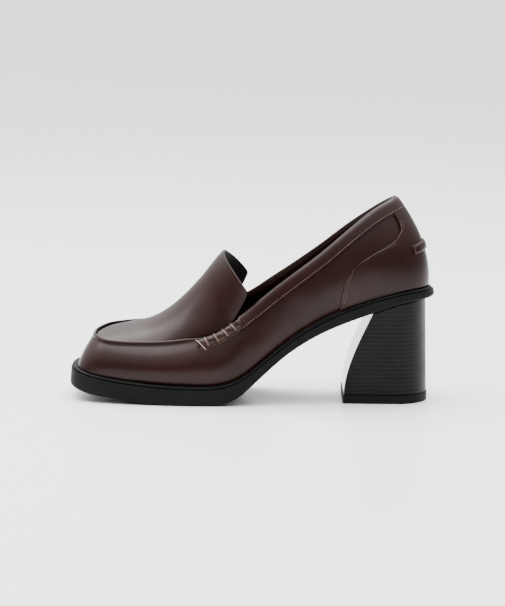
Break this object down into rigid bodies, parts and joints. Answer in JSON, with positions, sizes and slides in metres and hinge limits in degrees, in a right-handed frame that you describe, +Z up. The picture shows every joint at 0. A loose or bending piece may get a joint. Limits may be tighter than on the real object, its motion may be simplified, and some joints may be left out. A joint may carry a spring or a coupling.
{
  "type": "loafer pump",
  "caption": "Women's leather loafer pump with a square toe, moccasin seam, short tongue, low platform and a curved block heel.",
  "frame": {"origin": "middle of the shoe's box on the floor", "axes": "+X from toe to heel, +Y towards the inner side of the foot, +Z up"},
  "size_m": [0.247, 0.0912, 0.1387],
  "materials": {
    "upper_leather": "polished burgundy box leather",
    "seam_leather": "polished burgundy leather, rolled",
    "lining": "matt black lining",
    "sole_rubber": "satin black",
    "heel_stack": "black, lined like stacked leather"
  },
  "bodies": {
    "root": {"outsole": "sole_rubber", "welt": "sole_rubber", "heel": "heel_stack", "heel_tip": "sole_rubber", "insole": "lining", "upper": "upper_leather", "apron_tongue": "upper_leather", "collar_band": "upper_leather", "counter": "upper_leather", "heel_tab": "upper_leather", "seam_roll_outer": "seam_leather", "seam_roll_inner": "seam_leather"}
  },
  "joints": []
}
